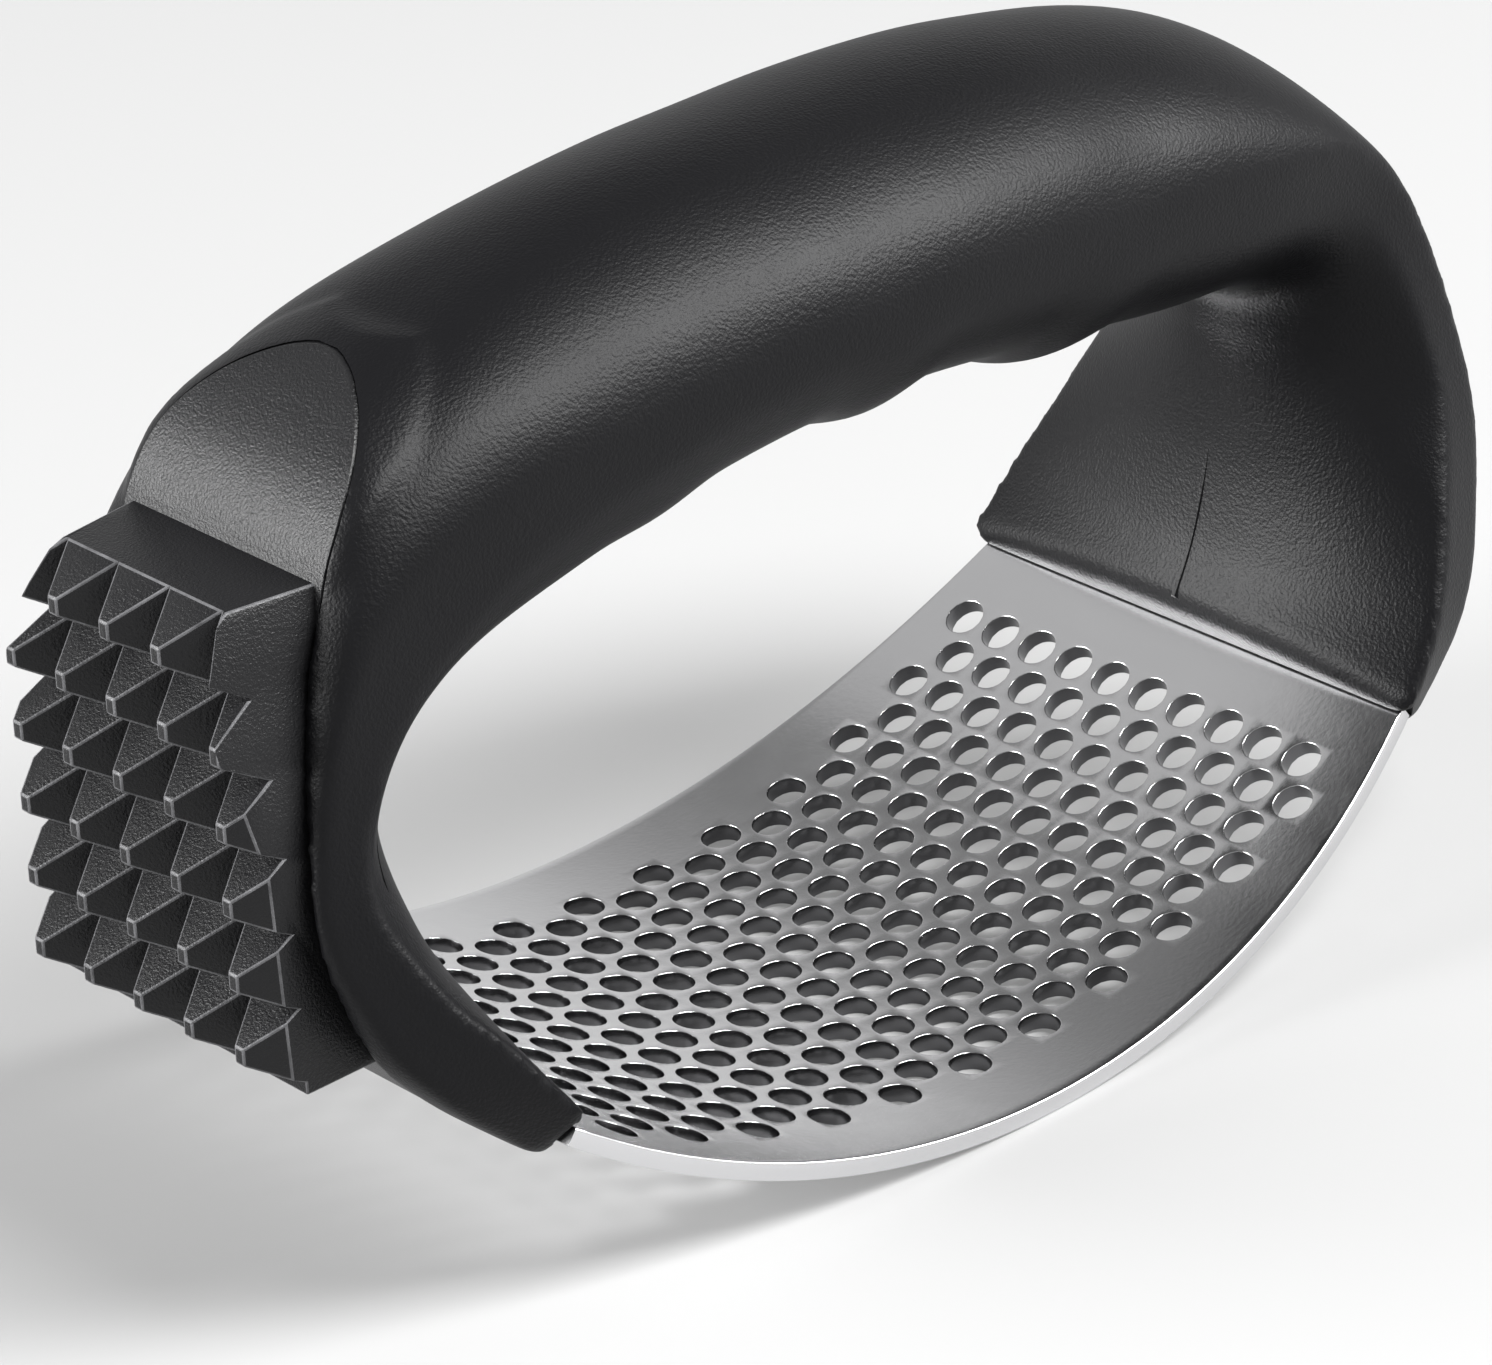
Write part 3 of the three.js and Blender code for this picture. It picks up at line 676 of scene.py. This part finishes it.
def plate_from_sheet(flat, faces):
    """Rolls a flat sheet of faces to the plate's radius and gives it thickness."""
    work = bmesh.new()
    weight = work.edges.layers.float.new("bevel_weight_edge")
    wall_shade_layer = work.faces.layers.float.new("wall")
    verts = [work.verts.new((angle * PLATE_RADIUS * MM, y * MM, 0)) for angle, y in flat]
    for face in faces:
        work.faces.new([verts[k] for k in face])
    bmesh.ops.remove_doubles(work, verts=work.verts, dist=CELL_WELD * MM)
    bmesh.ops.recalc_face_normals(work, faces=work.faces)
    for face in work.faces:
        if face.normal.z < 0:
            face.normal_flip()
    borders = [edge for edge in work.edges if edge.is_boundary]
    top = list(work.verts)
    lower = {v: work.verts.new((v.co.x, v.co.y, -PLATE_THICKNESS * MM)) for v in top}
    for face in list(work.faces):
        work.faces.new([lower[v] for v in reversed(face.verts)])
    last_row = ROW_COUNT / 2 * ROW_ANGLE * PLATE_RADIUS * MM
    last_hole = ROW_SPAN / 2 * HOLE_PITCH * MM
    for edge in borders:
        a, b = edge.verts
        if edge.link_loops[0].vert is not a:
            a, b = b, a
        wall = work.faces.new([b, a, lower[a], lower[b]])
        on_hole = abs(a.co.y) < last_hole and abs(a.co.x) < last_row
        # marks the holes' walls, which get painted shade in the material
        wall[wall_shade_layer] = float(on_hole)
        share = HOLE_ROUND_SHARE if on_hole else 1.0
        for rim in wall.edges:
            if {rim.verts[0], rim.verts[1]} in ({a, b}, {lower[a], lower[b]}):
                rim[weight] = share
    for vert in work.verts:
        angle = vert.co.x / (PLATE_RADIUS * MM)
        vert.co = to_row([plate_point(angle, vert.co.y / MM, -vert.co.z / MM)])[0]
    mesh = bpy.data.meshes.new("perforated_plate")
    work.to_mesh(mesh)
    work.free()
    obj = bpy.data.objects.new("perforated_plate", mesh)
    bpy.context.scene.collection.objects.link(obj)
    apply_modifier(obj, "BEVEL", width=RIM_ROUND * MM, segments=3, limit_method="WEIGHT")
    return obj


# ---- materials ----------------------------------------------------------------------

SOFT_BLACK = (0.0024, 0.0024, 0.003)
HARD_BLACK = (0.006, 0.006, 0.0066)
# painted highlight: the light grey that the head's rounded edges are lightened toward
EDGE_HIGHLIGHT_GREY = (0.11, 0.11, 0.115)
STEEL = (0.66, 0.66, 0.67)
# painted shade: a much darker steel for the holes' walls
HOLE_WALL_SHADE = (0.13, 0.13, 0.135)
TABLE_GREY = (0.27, 0.27, 0.27)


def material(name, color, roughness, metallic=0.0, specular=0.5):
    made = bpy.data.materials.new(name)
    made.use_nodes = True
    shader = made.node_tree.nodes["Principled BSDF"]
    shader.inputs["Base Color"].default_value = (*color, 1)
    shader.inputs["Roughness"].default_value = roughness
    shader.inputs["Metallic"].default_value = metallic
    shader.inputs["Specular IOR Level"].default_value = specular
    return made, made.node_tree, shader


def noise(tree, scale, detail=2, roughness=0.5):
    place = tree.nodes.new("ShaderNodeTexCoord")
    texture = tree.nodes.new("ShaderNodeTexNoise")
    texture.inputs["Scale"].default_value = scale
    texture.inputs["Detail"].default_value = detail
    texture.inputs["Roughness"].default_value = roughness
    tree.links.new(place.outputs["Object"], texture.inputs["Vector"])
    return texture.outputs["Fac"]


def bump(tree, shader, height, strength, distance):
    node = tree.nodes.new("ShaderNodeBump")
    node.inputs["Strength"].default_value = strength
    node.inputs["Distance"].default_value = distance
    tree.links.new(height, node.inputs["Height"])
    tree.links.new(node.outputs["Normal"], shader.inputs["Normal"])


def spread(tree, value, low, high):
    """Stretches a 0 to 1 value over low to high."""
    node = tree.nodes.new("ShaderNodeMapRange")
    tree.links.new(value, node.inputs["Value"])
    node.inputs["To Min"].default_value = low
    node.inputs["To Max"].default_value = high
    return node.outputs["Result"]


def mixed(tree, first, second, share):
    """The sum of two values, the second weighed by a share."""
    node = tree.nodes.new("ShaderNodeMath")
    node.operation = "MULTIPLY_ADD"
    node.inputs[1].default_value = share
    tree.links.new(second, node.inputs[0])
    tree.links.new(first, node.inputs[2])
    return node.outputs["Value"]


def face_value(tree, name):
    """The value of a face attribute, 0 or 1."""
    node = tree.nodes.new("ShaderNodeAttribute")
    node.attribute_name = name
    return node.outputs["Fac"]


def product(tree, first, second):
    node = tree.nodes.new("ShaderNodeMath")
    node.operation = "MULTIPLY"
    tree.links.new(first, node.inputs[0])
    tree.links.new(second, node.inputs[1])
    return node.outputs["Value"]


def two_tones(tree, shader, plain, other, share):
    """A base colour that turns from plain to other as the share grows."""
    node = tree.nodes.new("ShaderNodeMix")
    node.data_type = "RGBA"
    node.inputs["A"].default_value = (*plain, 1)
    node.inputs["B"].default_value = (*other, 1)
    tree.links.new(share, node.inputs["Factor"])
    tree.links.new(node.outputs["Result"], shader.inputs["Base Color"])


def soft_cover_material():
    """Matt rubber with a fine pebble grain and a few worn, smoother patches."""
    made, tree, shader = material("soft_cover", SOFT_BLACK, roughness=0.4, specular=0.16)
    fine, coarse = noise(tree, scale=3800, detail=1), noise(tree, scale=1500, detail=1)
    bump(tree, shader, mixed(tree, fine, coarse, share=0.2), strength=0.35, distance=0.16 * MM)
    patches = noise(tree, scale=45, detail=3)
    tree.links.new(spread(tree, patches, low=0.36, high=0.5), shader.inputs["Roughness"])
    return made


def hard_head_material():
    """Hard plastic with a spark-eroded grain, and a patchy painted highlight along its rounded edges.
    """
    made, tree, shader = material("hard_head", HARD_BLACK, roughness=0.45, specular=0.24)
    fine = noise(tree, scale=4600, detail=2, roughness=0.6)
    coarse = noise(tree, scale=1500, detail=1)
    bump(tree, shader, mixed(tree, fine, coarse, share=0.15), strength=1.0, distance=0.07 * MM)
    # Painted highlight: the faces of the rounded edges turn patchily toward a light grey.
    edge_highlight = spread(tree, noise(tree, scale=700, detail=3), low=0.1, high=1.3)
    two_tones(tree, shader, HARD_BLACK, EDGE_HIGHLIGHT_GREY, product(tree, face_value(tree, "edge"), edge_highlight))
    patches = noise(tree, scale=80, detail=3)
    tree.links.new(spread(tree, patches, low=0.3, high=0.42), shader.inputs["Roughness"])
    return made


def steel_material():
    """Satin stainless steel, rolled smooth and lightly scuffed, with painted shade on the holes' walls.
    """
    made, tree, shader = material("stainless_plate", STEEL, roughness=0.3, metallic=1.0)
    # Painted shade: the holes' walls get a much darker steel colour.
    two_tones(tree, shader, STEEL, HOLE_WALL_SHADE, face_value(tree, "wall"))
    waves, grain = noise(tree, scale=90, detail=4), noise(tree, scale=2500, detail=2)
    bump(tree, shader, mixed(tree, waves, grain, share=0.3), strength=0.08, distance=0.3 * MM)
    scuffs = noise(tree, scale=160, detail=5, roughness=0.7)
    tree.links.new(spread(tree, scuffs, low=0.14, high=0.32), shader.inputs["Roughness"])
    return made


# ---- assembly -----------------------------------------------------------------------

def finish_piece(obj, node, made, sharp=32):
    """Gives a piece its material, keeps edges over so many degrees crisp, and puts it in the frame."""
    obj.data.materials.clear()
    obj.data.materials.append(made)
    obj.data.polygons.foreach_set("use_smooth", [True] * len(obj.data.polygons))
    obj.data.set_sharp_from_angle(angle=math.radians(sharp))
    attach(obj, "root")
    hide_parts(node)


finish_piece(make_plate(), "press_plate", steel_material(), sharp=50)
finish_piece(make_cover(), "soft_grip_cover", soft_cover_material())
finish_piece(make_head(), "tenderizer_head", hard_head_material())

# ---- floor, lights and camera -------------------------------------------------------

# Sizes and places are metres from here on.
FLOOR_SIZE = 8
FLOOR_DROP = 0.04 * MM          # the rolled plate dips a little below the CAD's flat facet
FLOOR_GLOW = 0.18
FOCUS_HEIGHT = 0.04             # of the middle of the press, which the lights face

# The table is a sheet of opal glass, faintly lit from below.
floor_material, _, floor_shader = material("pale_floor", TABLE_GREY, roughness=0.7, specular=0.1)
floor_shader.inputs["Emission Color"].default_value = (1, 1, 1, 1)
floor_shader.inputs["Emission Strength"].default_value = FLOOR_GLOW
bpy.ops.mesh.primitive_plane_add(size=FLOOR_SIZE, location=(0, 0, -FLOOR_DROP))
floor = bpy.context.object
floor.name = "floor"
floor.data.materials.append(floor_material)


def studio_world():
    """Pale walls round the table under a darker ceiling."""
    world = bpy.data.worlds.new("studio")
    bpy.context.scene.world = world
    world.use_nodes = True
    tree = world.node_tree
    place = tree.nodes.new("ShaderNodeTexCoord")
    split = tree.nodes.new("ShaderNodeSeparateXYZ")
    ramp = tree.nodes.new("ShaderNodeValToRGB")
    tree.links.new(place.outputs["Generated"], split.inputs["Vector"])
    tree.links.new(split.outputs["Z"], ramp.inputs["Fac"])
    tree.links.new(ramp.outputs["Color"], tree.nodes["Background"].inputs["Color"])
    stops = ramp.color_ramp.elements
    stops[0].position, stops[0].color = 0.0, (0.9, 0.9, 0.9, 1)
    stops[1].position, stops[1].color = 0.62, (0.25, 0.25, 0.25, 1)
    middle = stops.new(0.3)
    middle.color = (0.8, 0.8, 0.8, 1)
    tree.nodes["Background"].inputs["Strength"].default_value = 0.95


def aim(heading, elevation, distance):
    """A place seen from the press at a heading clockwise from +Y and an elevation, in degrees."""
    turn, rise = math.radians(heading), math.radians(elevation)
    flat = math.cos(rise) * distance
    height = math.sin(rise) * distance + FOCUS_HEIGHT
    return Vector((flat * math.sin(turn), flat * math.cos(turn), height))


def softbox(name, place, toward, size, power):
    """A rectangular light at place, its long side running toward a point, facing the press."""
    data = bpy.data.lights.new(name, "AREA")
    data.shape = "RECTANGLE"
    data.size, data.size_y = size
    data.energy = power
    lamp = bpy.data.objects.new(name, data)
    back = (place - Vector((0, 0, FOCUS_HEIGHT))).normalized()
    along = toward - place
    along = (along - back * along.dot(back)).normalized()
    up = back.cross(along)
    lamp.matrix_world = Matrix((along, up, back)).transposed().to_4x4()
    lamp.location = place
    bpy.context.scene.collection.objects.link(lamp)


studio_world()
softbox("long_softbox", aim(146, 47, 0.9), aim(124, 17, 0.9), size=(1.05, 0.33), power=27)
softbox("left_softbox", aim(-60, 17, 0.95), aim(-20, 17, 0.95), size=(0.6, 0.36), power=20)
softbox("dim_panel", aim(-18, 50, 0.95), aim(20, 50, 0.95), size=(0.8, 0.55), power=0.5)

bpy.context.scene.view_settings.view_transform = "Standard"

LENS = 154.5
CAMERA_PLACE = (-0.2974, -0.3220, 0.2500)
# Heading clockwise from +Y, pitch below the horizon and roll, in degrees.
HEADING, PITCH, ROLL = 42.22, 26.99, -2.48

camera_data = bpy.data.cameras.new("camera")
camera_data.lens = LENS
camera = bpy.data.objects.new("camera", camera_data)
camera.location = CAMERA_PLACE
turn = Euler((math.radians(90 - PITCH), 0, math.radians(-HEADING))).to_matrix()
turn = turn @ Euler((0, 0, math.radians(ROLL))).to_matrix()
camera.rotation_euler = turn.to_euler()
bpy.context.scene.collection.objects.link(camera)
bpy.context.scene.camera = camera


def corners(pair):
    return [[float(v) for v in corner] for corner in pair]
